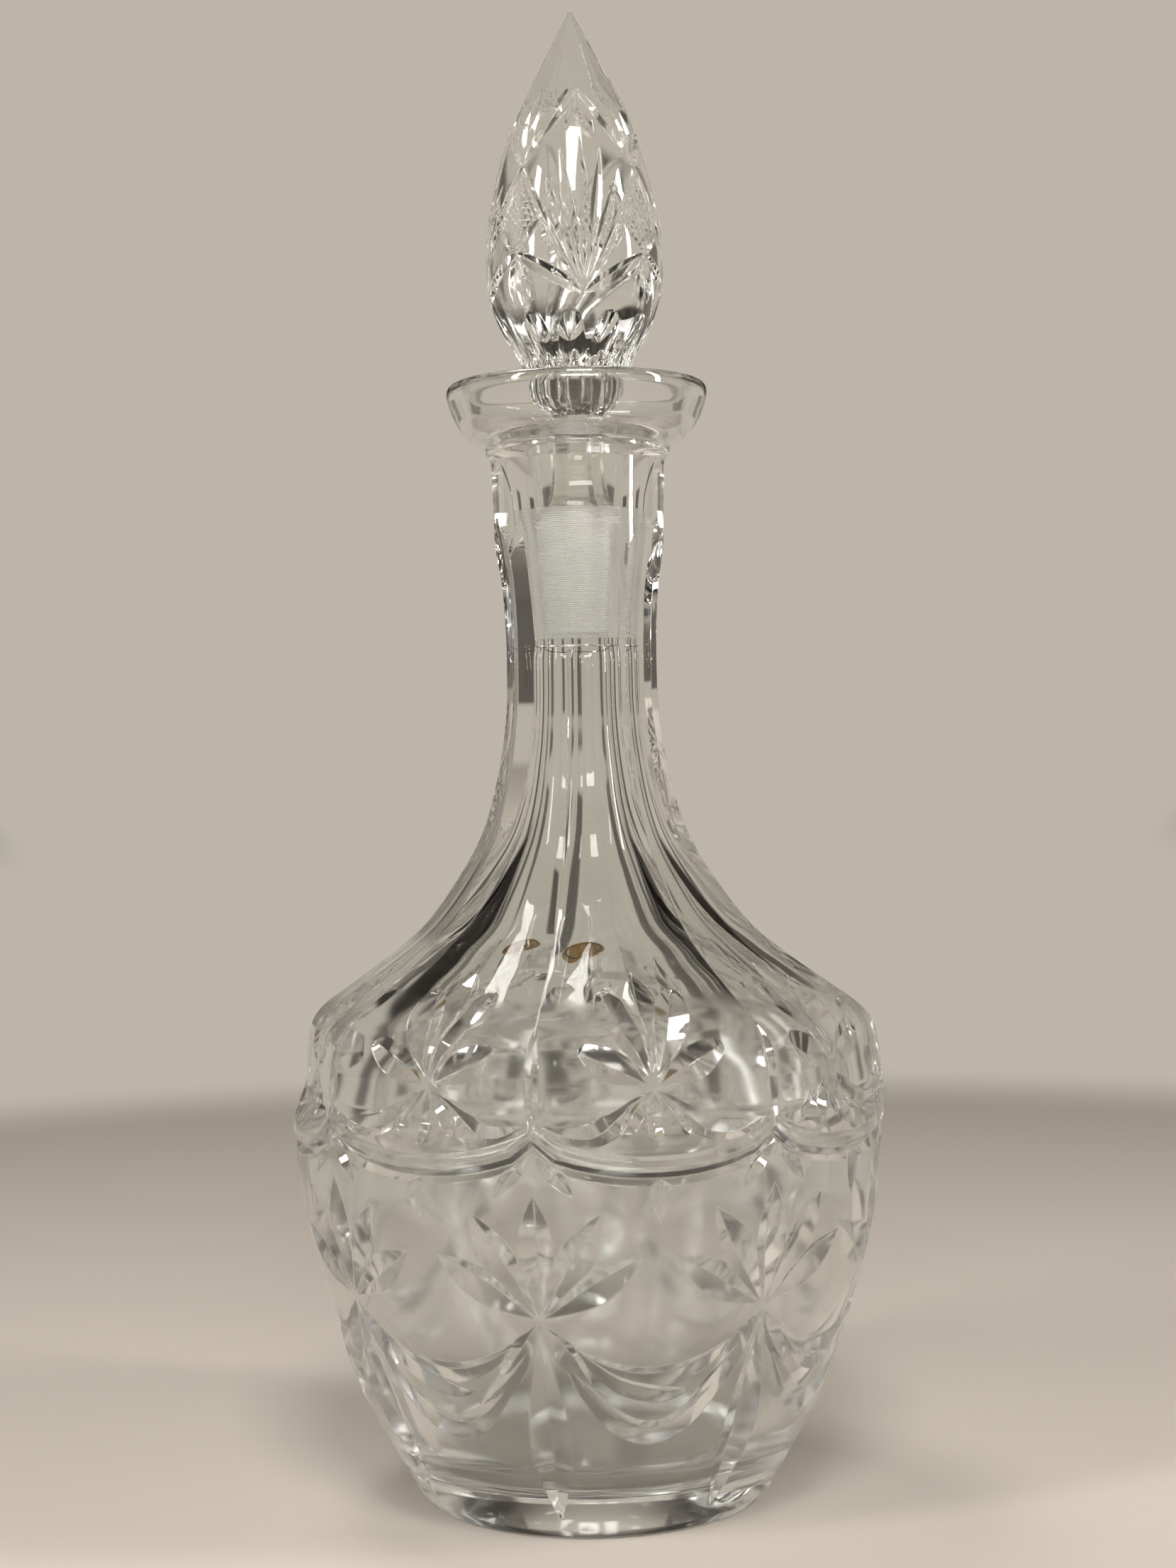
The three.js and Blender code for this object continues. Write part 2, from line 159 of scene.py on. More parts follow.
select_none()
bpy.ops.mesh.primitive_plane_add(size=1, location=(0, 0, 0))
floor = bpy.context.object
floor.name = "floor"
bpy.ops.object.mode_set(mode="EDIT")
bpy.ops.mesh.select_all(action="SELECT")
bpy.ops.transform.resize(value=(FLOOR_SIZE, FLOOR_SIZE, 1))
bpy.ops.object.mode_set(mode="OBJECT")
floor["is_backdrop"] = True

paint = bpy.data.materials.new("matt paint, floor")
paint.use_nodes = True
shader = paint.node_tree.nodes["Principled BSDF"]
shader.inputs["Base Color"].default_value = linear(FLOOR_COLOUR)
shader.inputs["Roughness"].default_value = FLOOR_ROUGHNESS
place = node(paint, "ShaderNodeTexCoord").outputs["Object"]
distance = node(paint, "ShaderNodeVectorMath", {"operation": "LENGTH"}, {0: place})
faded = node(
    paint, "ShaderNodeMapRange", {"interpolation_type": "SMOOTHSTEP", 1: FADE_NEAR, 2: FADE_FAR},
    {0: distance.outputs["Value"]},
)
# It fades only for the camera, also by way of the glass, and still throws light back as paint does.
light_path = node(paint, "ShaderNodeLightPath")
seen = node(
    paint, "ShaderNodeMath", {"operation": "MAXIMUM"},
    {0: light_path.outputs["Is Camera Ray"], 1: light_path.outputs["Is Glossy Ray"]},
)
seen = node(
    paint, "ShaderNodeMath", {"operation": "MAXIMUM"},
    {0: seen.outputs[0], 1: light_path.outputs["Is Transmission Ray"]},
)
faded = node(paint, "ShaderNodeMath", {"operation": "MULTIPLY"}, {0: faded.outputs[0], 1: seen.outputs[0]})
axes = node(paint, "ShaderNodeSeparateXYZ", links={0: place})
farther = node(
    paint, "ShaderNodeMapRange", {"interpolation_type": "SMOOTHSTEP", 1: POSTS_NEAR, 2: POSTS_FAR},
    {0: distance.outputs["Value"]},
)
shade = node(
    paint, "ShaderNodeMath", {"operation": "MULTIPLY"},
    {0: post_darkness(paint, axes).outputs[0], 1: farther.outputs[0]},
)
wall = node(
    paint, "ShaderNodeMix", {"data_type": "RGBA", 6: linear(WALL_COLOUR), 7: linear(DARK_COLOUR)},
    {0: shade.outputs[0]},
)
glow = node(paint, "ShaderNodeEmission", {}, {"Color": wall.outputs[2]})
both = node(
    paint, "ShaderNodeMixShader", {},
    {0: faded.outputs[0], 1: shader.outputs[0], 2: glow.outputs[0]},
)
paint.node_tree.links.new(both.outputs[0], paint.node_tree.nodes["Material Output"].inputs["Surface"])
floor.data.materials.append(paint)

world = bpy.data.worlds.new("room")
world.use_nodes = True
direction = node(world, "ShaderNodeTexCoord").outputs["Generated"]
axes = node(world, "ShaderNodeSeparateXYZ", links={0: direction})
overhead = node(
    world, "ShaderNodeMapRange", {"interpolation_type": "SMOOTHSTEP", 1: WALL_TOP, 2: CEILING},
    {0: axes.outputs["Z"]},
)
shade = node(
    world, "ShaderNodeMath", {"operation": "MAXIMUM"},
    {0: overhead.outputs[0], 1: post_darkness(world, axes).outputs[0]},
)
walls = node(
    world, "ShaderNodeMix", {"data_type": "RGBA", 6: linear(WALL_COLOUR), 7: linear(DARK_COLOUR)},
    {0: shade.outputs[0]},
)
world.node_tree.links.new(walls.outputs[2], world.node_tree.nodes["Background"].inputs["Color"])
bpy.context.scene.world = world

# Where each lamp stands and what it points at, its width and height, in metres, and its power in watts.
for name, stand, aim, width, height, power in (
    ("window lamp", (-0.70, -0.50, 0.62), (0, 0, 0.15), 0.10, 0.55, 5.4),
    ("side lamp", (0.78, -0.22, 0.50), (0, 0, 0.15), 0.08, 0.60, 5),
    ("ceiling lamp", (-0.25, 0.30, 1.10), (0, 0.1, 0.1), 0.35, 0.25, 4),
    ("front lamp", (0.03, -0.52, 0.80), (0, 0, 0.09), 0.24, 0.22, 4.5),
    ("strip lamp", (0.04, -0.70, 0.36), (0, 0, 0.1), 0.40, 0.05, 2.6),
):
    lamp_data = bpy.data.lights.new(name, "AREA")
    lamp_data.shape = "RECTANGLE"
    lamp_data.size = width
    lamp_data.size_y = height
    lamp_data.energy = power
    lamp_data.color = linear(LAMP_COLOUR)[:3]
    lamp = bpy.data.objects.new(name, lamp_data)
    bpy.context.scene.collection.objects.link(lamp)
    lamp.location = stand
    lamp.rotation_euler = (Vector(aim) - Vector(stand)).to_track_quat("-Z", "Y").to_euler()

bpy.context.scene.cycles.max_bounces = LIGHT_BOUNCES
bpy.context.scene.cycles.transmission_bounces = LIGHT_BOUNCES
bpy.context.scene.cycles.glossy_bounces = GLOSSY_BOUNCES

# Bottle
# One piece of mouth-blown lead crystal: a thick round blank, into which a cutter ground eight flat panels
# that run from the shoulder up the neck. A rounded bead follows the scalloped foot of the panels, and fans,
# garlands, flowers and swags are cut into it with a V-edged wheel. Sizes are in millimetres and degrees.
PANELS = 8
PANEL = 360 / PANELS
FIRST_EDGE = -10
PANEL_MIDDLE = FIRST_EDGE + PANEL / 2
HALF_PANEL_COS = math.cos(math.radians(PANEL / 2))

# Radius and height of the blank, and of the arrises where two panels meet.
BLANK = (
    (42.4, 2.0), (44.9, 6.6), (50.2, 16), (55.2, 25.2), (59.0, 36), (62.4, 47.6), (65.9, 60), (68.0, 70),
    (69.2, 80), (69.5, 86), (69.8, 92), (70.0, 97), (69.9, 106), (68.5, 113), (62, 120), (50, 129), (38, 142),
    (29, 157), (23.5, 175), (21.2, 195), (20.3, 215), (20.2, 230), (20.6, 243),
)
ARRIS = (
    (94, 78), (86, 83), (80, 86.4), (76.0, 89.2), (73.2, 91.6), (70.8, 94.4), (70.0, 97), (69.8, 100.5),
    (69.5, 105), (68.3, 110), (66.2, 113.2), (62.9, 116.0), (55.6, 121.0), (46.4, 127.6), (39.0, 134),
    (31.4, 144), (25.0, 155), (21.0, 168), (18.6, 182), (18.1, 194), (18.3, 206), (19.0, 215), (20.4, 223),
    (22.4, 230), (27, 236), (40, 244),
)
# The lip is a cup with a rounded rim, over a thin step ring. Its floor narrows into the ground seat.
LIP = (
    (21.4, 244.6), (22.0, 245.4), (21.9, 246.3), (22.6, 246.6), (24.6, 247.6), (27.2, 250.2), (29.2, 253.4),
    (30.5, 256.6), (30.95, 259.2), (30.6, 260.8), (29.4, 261.5), (28.0, 261.1), (27.0, 259.8), (26.3, 257.6),
    (25.2, 254.6), (23.2, 252.2), (20.5, 250.6), (16.5, 249.0), (13.2, 246.0), (11.4, 241), (10.4, 236),
    (10.0, 231), (9.8, 227),
)
# The seat, the bore and the cavity, down to the middle of its floor, and the underside from its middle out.
NECK_FOOT = 176
CAVITY = (
    (9.8, 227), (7.9, 202), (8.0, 199.5), (8.3, 196), (8.4, 186), (9.0, NECK_FOOT), (11.2, 162),
    (15.8, 149.5), (23.6, 138.2), (33.6, 128.2), (44.0, 119.8), (52.6, 113), (57.4, 107), (59.6, 100),
    (60.6, 92), (61.6, 84), (61.6, 74), (60.4, 64), (58.0, 53), (54.2, 41), (48.8, 28), (42.6, 18.4),
    (34.5, 13.0), (22, 11.2), (0, 10.4),
)
FOOT = ((0, 0.9), (30, 0.9), (36.5, 0.3), (39.8, 0.0), (41.4, 0.5))
# The rest of what trims the blank to its panels: it is wider than the blank below and above them.
BELOW_PANELS = ((0, -5), (94, -5), (94, 77.9))
ABOVE_PANELS = ((40, 270), (0, 270))

# The bead and the groove under it: how far each lies below the foot of the panels and inside the glass,
# and its radius. The foot of a panel is sought from the top of the scallop down, at so many points.
BEAD_DROP = 2.3
BEAD_INSET = 1.75
BEAD_RADIUS = 2.2
GROOVE_DROP = 5.0
GROOVE_INSET = -0.1
GROOVE_RADIUS = 1.5
SCALLOP_TOP = 97
SCALLOP_POINTS = 12

# The heights where the cuts start, and the depths of those that come in rows.
MITRE_FOOT = 94.5
CUSP_HEIGHT = 91.5
FAN_HEIGHT = 103
FAN_DEPTH = 2.4
FLOWER_HEIGHT = 54
FLOWER_DEPTH = 2.5
SWAG_DEPTH = 2.1
# An edge that turns by more than this stays sharp.
SHARP_EDGE = 18


def smooth_line(corners, steps):
    """Points on an even curve through the corners, with so many steps from one corner to the next."""
    line = []
    for k in range(len(corners) - 1):
        before = Vector(corners[max(k - 1, 0)])
        start = Vector(corners[k])
        end = Vector(corners[k + 1])
        after = Vector(corners[min(k + 2, len(corners) - 1)])
        for step in range(steps):
            t = step / steps
            line.append(
                0.5 * (2 * start + (end - before) * t
                       + (2 * before - 5 * start + 4 * end - after) * t * t
                       + (3 * start - 3 * end + after - before) * t ** 3)
            )
    line.append(Vector(corners[-1]))
    return line


def radius_at(line, height):
    """The radius of a profile at a height, where the profile only climbs."""
    for low, high in zip(line, line[1:]):
        if low[1] <= height <= high[1]:
            return low[0] + (high[0] - low[0]) * (height - low[1]) / (high[1] - low[1])
    return line[0][0] if height < line[0][1] else line[-1][0]


def spot(radius, angle, height):
    """A point in metres, from a radius and height in millimetres and an angle from -Y towards +X."""
    turn = math.radians(angle)
    return Vector((radius * math.sin(turn), -radius * math.cos(turn), height)) / 1000


def turned(name, outline, steps, angle=0):
    """Draws an outline of (radius, height) by extruding a point, and spins it round the axis."""
    select_none()
    bpy.ops.mesh.primitive_plane_add(size=0.01, location=(0, 0, 0))
    made = bpy.context.object
    made.name = name
    bpy.ops.object.mode_set(mode="EDIT")
    bpy.ops.mesh.select_all(action="SELECT")
    bpy.ops.mesh.merge(type="CENTER")
    points = [spot(radius, angle, height) for radius, height in outline]
    bpy.ops.transform.translate(value=points[0])
    for here, there in zip(points, points[1:]):
        bpy.ops.mesh.extrude_vertices_move(TRANSFORM_OT_translate={"value": there - here})
    bpy.ops.mesh.select_all(action="SELECT")
    bpy.ops.mesh.spin(steps=steps, angle=math.tau, center=(0, 0, 0), axis=(0, 0, 1))
    bpy.ops.mesh.select_all(action="SELECT")
    bpy.ops.mesh.remove_doubles(threshold=2e-6)
    bpy.ops.mesh.normals_make_consistent(inside=False)
    bpy.ops.object.mode_set(mode="OBJECT")
    return made


def shape(glass, tool, operation="DIFFERENCE"):
    """Cuts, joins or trims the glass with a tool, which is used up."""
    select_none()
    bpy.context.view_layer.objects.active = glass
    step = glass.modifiers.new(tool.name, "BOOLEAN")
    step.operation = operation
    step.solver = "MANIFOLD"
    step.object = tool
    bpy.ops.object.modifier_apply(modifier=step.name)
    bpy.data.objects.remove(tool)


def skin_of(blank, arrises, first_edge):
    """The outer face of a blank with eight flat panels, before the wheel cuts: it gives points in metres."""
    def skin(angle, height):
        middle = (angle - first_edge) % PANEL - PANEL / 2
        flat = radius_at(arrises, height) * HALF_PANEL_COS / math.cos(math.radians(middle))
        return spot(min(radius_at(blank, height), flat), angle, height)
    return skin


def upward(skin, angle, height):
    """A short step straight up the glass, a millimetre high."""
    return skin(angle, height + 0.5) - skin(angle, height - 0.5)


def outward(skin, angle, height):
    """The direction straight out of the glass."""
    around = skin(angle + 0.8, height) - skin(angle - 0.8, height)
    return around.cross(upward(skin, angle, height)).normalized()


def ray(skin, angle, height, lean, length):
    """A straight way over the glass: from a point, so far from upright, and so many millimetres long."""
    way = [(angle, height)]
    steps = 6
    for _ in range(steps):
        up = upward(skin, angle, height)
        here = skin(angle, height)
        step = length / steps
        angle += math.degrees(step * math.sin(math.radians(lean)) / (1000 * here.xy.length))
        height += step * math.cos(math.radians(lean)) * up.z / up.length
        way.append((angle, height))
    return way


def wheel_cut(glass, skin, way, width, depth, copies, lift=0.12, belly=0.5, ends=(1, 1), sides=4):
    """Cuts what a wheel takes out along a way over the glass, in copies round the axis.

    It is a spindle, with four sides for a V-edged wheel and more for a round one. Its middle line stands off
    the glass by the share lift of its depth, and it is widest at the share belly of its length. Its ends are
    pointed at 1 and blunter below it.
    """
    select_none()
    bpy.ops.mesh.primitive_uv_sphere_add(segments=sides, ring_count=18, radius=1, location=(0, 0, 0))
    tool = bpy.context.object
    tool.name = "wheel"
    line = smooth_line(way, steps=8)
    skew = math.log(0.5) / math.log(belly)
    for corner in tool.data.vertices:
        share = 1 - math.acos(max(-1, min(1, corner.co.z))) / math.pi
        reach = share * (len(line) - 1)
        k = min(int(reach), len(line) - 2)
        angle, height = line[k].lerp(line[k + 1], reach - k)
        ahead = skin(*line[k + 1]) - skin(*line[k])
        out = outward(skin, angle, height)
        across = ahead.cross(out).normalized()
        swell = max(math.sin(math.pi * share ** skew), 0) ** (ends[0] + (ends[1] - ends[0]) * share)
        size = max(corner.co.xy.length, 1e-9)
        corner.co = (
            skin(angle, height)
            + out * (depth * lift + depth * swell * corner.co.y / size) / 1000
            + across * (width / 2 * swell * corner.co.x / size) / 1000
        )
    bpy.ops.object.mode_set(mode="EDIT")
    bpy.ops.mesh.select_all(action="SELECT")
    bpy.ops.mesh.normals_make_consistent(inside=False)
    bpy.ops.mesh.spin(
        steps=copies - 1, dupli=True, angle=math.tau * (copies - 1) / copies, center=(0, 0, 0), axis=(0, 0, 1)
    )
    bpy.ops.object.mode_set(mode="OBJECT")
    shape(glass, tool)


def scallop(drop, inset):
    """A closed way round the bottle, a little under the foot of the panels."""
    way = []
    for k in range(PANELS * SCALLOP_POINTS):
        angle = FIRST_EDGE + PANEL * k / SCALLOP_POINTS
        foot = SCALLOP_TOP
        while bottle_skin(angle, foot).xy.length < radius_at(blank_line, foot) / 1000 - 1e-7:
            foot -= 0.1
        way.append(spot(radius_at(blank_line, foot - drop) - inset, angle, foot - drop))
    return way


def ring(way, radius, sides):
    """A closed bar along a way, round or with four sides."""
    select_none()
    bpy.ops.curve.primitive_nurbs_path_add(location=(0, 0, 0))
    bar = bpy.context.object
    bar.name = "bar"
    bar.data.splines.clear()
    spline = bar.data.splines.new("POLY")
    spline.points.add(len(way) - 1)
    for point, place in zip(spline.points, way):
        point.co = (*place, 1)
    spline.use_cyclic_u = True
    bar.data.twist_mode = "Z_UP"
    bar.data.bevel_depth = radius / 1000
    bar.data.bevel_resolution = sides // 2 - 2
    bpy.ops.object.convert(target="MESH")
    return bpy.context.object


def polish(glass):
    """Clears away slivers where cuts meet, a thousandth of a millimetre long, and shades the curves even."""
    select_none()
    glass.select_set(True)
    bpy.context.view_layer.objects.active = glass
    bpy.ops.object.mode_set(mode="EDIT")
    bpy.ops.mesh.select_all(action="SELECT")
    bpy.ops.mesh.dissolve_degenerate(threshold=1e-6)
    bpy.ops.mesh.delete_loose()
    bpy.ops.object.mode_set(mode="OBJECT")
    bpy.ops.object.shade_smooth_by_angle(angle=math.radians(SHARP_EDGE))


blank_line = smooth_line(BLANK, steps=6)
arris_line = smooth_line(ARRIS, steps=5)
outline = list(FOOT) + blank_line + smooth_line(LIP, steps=4)[:-1] + smooth_line(CAVITY, steps=5)
bottle = turned("crystal_bottle", outline, steps=192)
panels = turned("panels", list(BELOW_PANELS) + arris_line + list(ABOVE_PANELS), PANELS, FIRST_EDGE)
shape(bottle, panels, "INTERSECT")
bottle_skin = skin_of(blank_line, arris_line, FIRST_EDGE)
shape(bottle, ring(scallop(BEAD_DROP, BEAD_INSET), BEAD_RADIUS, sides=12), "UNION")
shape(bottle, ring(scallop(GROOVE_DROP, GROOVE_INSET), GROOVE_RADIUS, sides=4))

# Along the foot of each arris, a long mitre, and under it two short leaves across the band.
mitre = [(FIRST_EDGE, MITRE_FOOT), (FIRST_EDGE, 104), (FIRST_EDGE, 116)]
wheel_cut(bottle, bottle_skin, mitre, width=5.4, depth=2.0, copies=PANELS, ends=(1, 0.6))
for lean in (-140, 140):
    leaf = ray(bottle_skin, FIRST_EDGE, CUSP_HEIGHT, lean, length=14)
    wheel_cut(bottle, bottle_skin, leaf, width=4.2, depth=1.5, copies=PANELS)

# The fan in the middle of each panel: five leaves up, two garlands out to the corners, three short ones down.
for lean, length, width, tip in (
    (0, 31, 8.6, 1), (-21, 27, 10.4, 0.6), (21, 27, 10.4, 0.6), (-60, 18.5, 9.6, 0.45), (60, 18.5, 9.6, 0.45),
):
    leaf = ray(bottle_skin, PANEL_MIDDLE, FAN_HEIGHT, lean, length)
    wheel_cut(bottle, bottle_skin, leaf, width, FAN_DEPTH, PANELS, belly=0.62, ends=(1, tip))
# The garlands and the short leaves beside the middle one, as degrees from the middle of a panel and heights.
GARLAND = ((0, FAN_HEIGHT), (3.6, 100.2), (7.4, 96.4), (11.5, 94.0), (16.5, 94.2), (21.5, 96.6))
SIDE_PETAL = ((0, FAN_HEIGHT), (3.5, 98.5), (6.6, 93))
for side in (-1, 1):
    garland = [(PANEL_MIDDLE + side * turn, height) for turn, height in GARLAND]
    wheel_cut(bottle, bottle_skin, garland, width=5.6, depth=2.1, copies=PANELS, belly=0.55)
    petal = [(PANEL_MIDDLE + side * turn, height) for turn, height in SIDE_PETAL]
    wheel_cut(bottle, bottle_skin, petal, width=4.8, depth=1.5, copies=PANELS, belly=0.6, ends=(1, 0.6))
petal = [(PANEL_MIDDLE, FAN_HEIGHT), (PANEL_MIDDLE, 91)]
wheel_cut(bottle, bottle_skin, petal, width=3.8, depth=1.4, copies=PANELS, belly=0.6, ends=(1, 0.6))
icicle = [(PANEL_MIDDLE, 85.5), (PANEL_MIDDLE, 74.5)]
wheel_cut(bottle, bottle_skin, icicle, width=5.4, depth=1.5, copies=PANELS, belly=0.3)

# The flower under each arris: five leaves up, two short ones and a very long one down.
for lean, length, width in (
    (0, 29, 9.6), (-30, 29, 9.4), (30, 29, 9.4), (-57, 27, 9.2), (57, 27, 9.2),
    (-146, 19, 6.2), (146, 19, 6.2), (180, 54, 11.0),
):
    leaf = ray(bottle_skin, FIRST_EDGE, FLOWER_HEIGHT, lean, length)
    wheel_cut(bottle, bottle_skin, leaf, width, FLOWER_DEPTH, PANELS, belly=0.55)

# The swags from flower to flower, with two tapering leaves between the upper one and the lower one.
for sag, width in ((13.5, 6.4), (26.5, 8.2)):
    swag = [
        (PANEL_MIDDLE + PANEL * k / 12, FLOWER_HEIGHT - sag * (1 - (k / 6) ** 2)) for k in range(-6, 7, 2)
    ]
    wheel_cut(bottle, bottle_skin, swag, width, SWAG_DEPTH, PANELS, lift=0.2)
for leaf in (
    ((-22.5, FLOWER_HEIGHT), (-15, 46.5), (-7, 39.5), (2, 36.6), (7.5, 37.2)),
    ((22.5, FLOWER_HEIGHT), (19, 46), (13.5, 38.5), (7.5, 33.4)),
):
    way = [(PANEL_MIDDLE + turn, height) for turn, height in leaf]
    wheel_cut(bottle, bottle_skin, way, width=5.4, depth=1.9, copies=PANELS, belly=0.6)

polish(bottle)

# The inside of the body is marked from 0 to 1, because wine has left a thin haze on it up to the shoulder.
HAZE_FOOT = 9
HAZE_TOP = 117
# A corner counts as inside when it lies no farther than this from the outline of the cavity.
CAVITY_REACH = 1.2
cavity_line = [Vector(point) for point in reversed(CAVITY) if point[1] <= NECK_FOOT]
haze = bottle.data.attributes.new("haze", "FLOAT", "POINT")
for corner, mark in zip(bottle.data.vertices, haze.data):
    radius, height = corner.co.xy.length * 1000, corner.co.z * 1000
    if HAZE_FOOT < height < HAZE_TOP:
        mark.value = float(radius < radius_at(cavity_line, height) + CAVITY_REACH)

# The foot and top of the ground seat, and the radius that it and the plug lie within, in metres.
SEAT_GROUND = (0.2015, 0.2315)
GROUND_REACH = 0.0118
GROUND_COLOUR = 0xfdfdfb


def worn_crystal(name, colour, ground_foot, ground_top):
    """Lead crystal: clear, brilliant and hardly tinted, with a high index. It has the faint waves of hot
    glass, fine scratches and rubbed spots from use, and a part that is ground and has stayed matt."""
    made = bpy.data.materials.new(name)
    made.use_nodes = True
    shader = made.node_tree.nodes["Principled BSDF"]
    shader.inputs["IOR"].default_value = 1.545
    place = node(made, "ShaderNodeTexCoord").outputs["Object"]
    # Waves about 12 mm long and a few hundredths of a millimetre high, left by the blowing.
    waves = node(made, "ShaderNodeTexNoise", {"Scale": 85, "Detail": 1}, {"Vector": place})
    # Scratches about 0.4 mm wide, wider than real ones, which would be too fine to show, and 8 mm long.
    along = node(
        made, "ShaderNodeMapping", {"Scale": (2400, 2400, 130), "Rotation": (0.3, 0.2, 0)}, {"Vector": place}
    )
    scratches = node(made, "ShaderNodeTexNoise", {"Scale": 1, "Detail": 2}, {"Vector": along.outputs[0]})
    patches = node(made, "ShaderNodeTexNoise", {"Scale": 42, "Detail": 3}, {"Vector": place})
    thin = node(made, "ShaderNodeMapRange", {1: 0.66, 2: 0.76}, {0: scratches.outputs[0]})
    rubbed = node(made, "ShaderNodeMapRange", {1: 0.52, 2: 0.66}, {0: patches.outputs[0]})
    wear = node(made, "ShaderNodeMath", {"operation": "MULTIPLY"}, {0: thin.outputs[0], 1: rubbed.outputs[0]})
    # The ground part, with edges a third of a millimetre soft.
    axes = node(made, "ShaderNodeSeparateXYZ", links={0: place})
    level = node(made, "ShaderNodeVectorMath", {"operation": "MULTIPLY", 1: (1, 1, 0)}, {0: place})
    radius = node(made, "ShaderNodeVectorMath", {"operation": "LENGTH"}, {0: level.outputs[0]})
    above = node(
        made, "ShaderNodeMapRange", {1: ground_foot - 0.0003, 2: ground_foot}, {0: axes.outputs["Z"]}
    )
    below = node(
        made, "ShaderNodeMapRange", {1: ground_top, 2: ground_top + 0.0004, 3: 1, 4: 0},
        {0: axes.outputs["Z"]},
    )
    within = node(
        made, "ShaderNodeMapRange", {1: GROUND_REACH, 2: GROUND_REACH + 0.0003, 3: 1, 4: 0},
        {0: radius.outputs["Value"]},
    )
    band = node(made, "ShaderNodeMath", {"operation": "MULTIPLY"}, {0: above.outputs[0], 1: below.outputs[0]})
    matt = node(made, "ShaderNodeMath", {"operation": "MULTIPLY"}, {0: band.outputs[0], 1: within.outputs[0]})
    # Grinding lines about 0.5 mm apart round it, uneven as the grit left them.
    lines = node(
        made, "ShaderNodeTexWave",
        {"wave_type": "BANDS", "bands_direction": "Z", "Scale": 630, "Distortion": 3, "Detail": 3,
         "Detail Scale": 2},
        {"Vector": place},
    )
    grain = node(made, "ShaderNodeMapRange", {3: 0.26, 4: 0.30}, {0: lines.outputs["Fac"]})
    matt_rough = node(
        made, "ShaderNodeMath", {"operation": "MULTIPLY"}, {0: grain.outputs[0], 1: matt.outputs[0]}
    )
    rough = node(
        made, "ShaderNodeMath", {"operation": "MULTIPLY_ADD", 1: 0.22},
        {0: wear.outputs[0], 2: matt_rough.outputs[0]},
    )
    # The haze that wine leaves inside, denser in patches. A piece without the mark has none.
    haze = node(made, "ShaderNodeAttribute", {"attribute_name": "haze"})
    film = node(made, "ShaderNodeMapRange", {3: 0.09, 4: 0.17}, {0: patches.outputs[0]})
    dulled = node(
        made, "ShaderNodeMath", {"operation": "MULTIPLY_ADD"},
        {0: haze.outputs["Fac"], 1: film.outputs[0], 2: rough.outputs[0]},
    )
    made.node_tree.links.new(dulled.outputs[0], shader.inputs["Roughness"])
    # Ground glass is white where it scatters light.
    clear = node(made, "ShaderNodeMapRange", {3: 1, 4: 0.8}, {0: matt.outputs[0]})
    made.node_tree.links.new(clear.outputs[0], shader.inputs["Transmission Weight"])
    whiter = node(
        made, "ShaderNodeMix", {"data_type": "RGBA", 6: linear(colour), 7: linear(GROUND_COLOUR)},
        {0: matt.outputs[0]},
    )
    made.node_tree.links.new(whiter.outputs[2], shader.inputs["Base Color"])
    # Polishing has rounded every edge of the cuts by just under half a millimetre.
    edges = node(made, "ShaderNodeBevel", {"samples": 6, "Radius": 0.00045})
    relief = node(
        made, "ShaderNodeBump", {"Strength": 1, "Distance": 0.00004},
        {"Height": waves.outputs[0], "Normal": edges.outputs[0]},
    )
    made.node_tree.links.new(relief.outputs[0], shader.inputs["Normal"])
    return made


crystal = worn_crystal("lead crystal, cut and fire polished", 0xf7f8f6, *SEAT_GROUND)
bottle.data.materials.clear()
bottle.data.materials.append(crystal)

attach(bottle, "bottle")
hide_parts("bottle")

# Stopper
# A solid stopper of the same crystal: a ground plug that drops into the seat of the neck, a stem of eight
# facets and a tall pointed finial. Its four faces each have a hexagon of mitres round a fan of leaves, with
# hobnail between them, round flutes under them and a pyramid of eight facets at the tip.
STOPPER_EDGE = -16.5
FACES = 4
FACE_MIDDLE = 6
FACE_FOOT = 279.7
FACE_TOP = 329
STOPPER = (
    (9.5, 227), (9.62, 228.6), (9.5, 230.2), (8.9, 233), (8.2, 237), (8.0, 243), (8.3, 249), (9.5, 255),
    (11.6, 261.5), (14.6, 269), (17.9, 275), (20.3, 282), (21.25, 289.5), (20.7, 298), (19.0, 307),
    (16.4, 317), (13.1, 326), (10.2, 333), (6.4, 341), (0.6, 349.9),
)
PLUG = ((0, 202), (7.0, 202), (7.6, 202.6))
TIP = (0, 350)
# What trims the stopper to its facets: wide round the plug, close at the stem, wide round the faces, and
# close again at the tip.
ROUND_PLUG = ((0, 195), (40, 195), (40, 222))
STEM_ARRIS = (
    (11.4, 223), (10.4, 227), (9.5, 230.2), (8.0, 232.4), (6.9, 236), (6.35, 243), (6.8, 249), (9.4, 254.5),
    (14.5, 259.5),
)
ROUND_FACES = ((40, 266), (40, 276.5))
TIP_ARRIS = (0.3, 350)
# The first flute stands this far to the side of the middle of a face.
FLUTES = 12
FLUTE_TURN = -9
FAN_LEAF_DEPTH = 1.5
HOBNAIL_LINES = 6
HOBNAIL_WIDTH = 1.9
HOBNAIL_DEPTH = 0.7

stopper_line = smooth_line(STOPPER, steps=6)
facet_line = smooth_line(STEM_ARRIS, steps=5) + list(ROUND_FACES) + [TIP_ARRIS]
stopper = turned("crystal_stopper", list(PLUG) + stopper_line + [TIP], steps=96)
facets = turned("facets", list(ROUND_PLUG) + facet_line + [TIP], PANELS, STOPPER_EDGE)
shape(stopper, facets, "INTERSECT")
stopper_skin = skin_of(list(PLUG[1:]) + stopper_line, facet_line, STOPPER_EDGE)

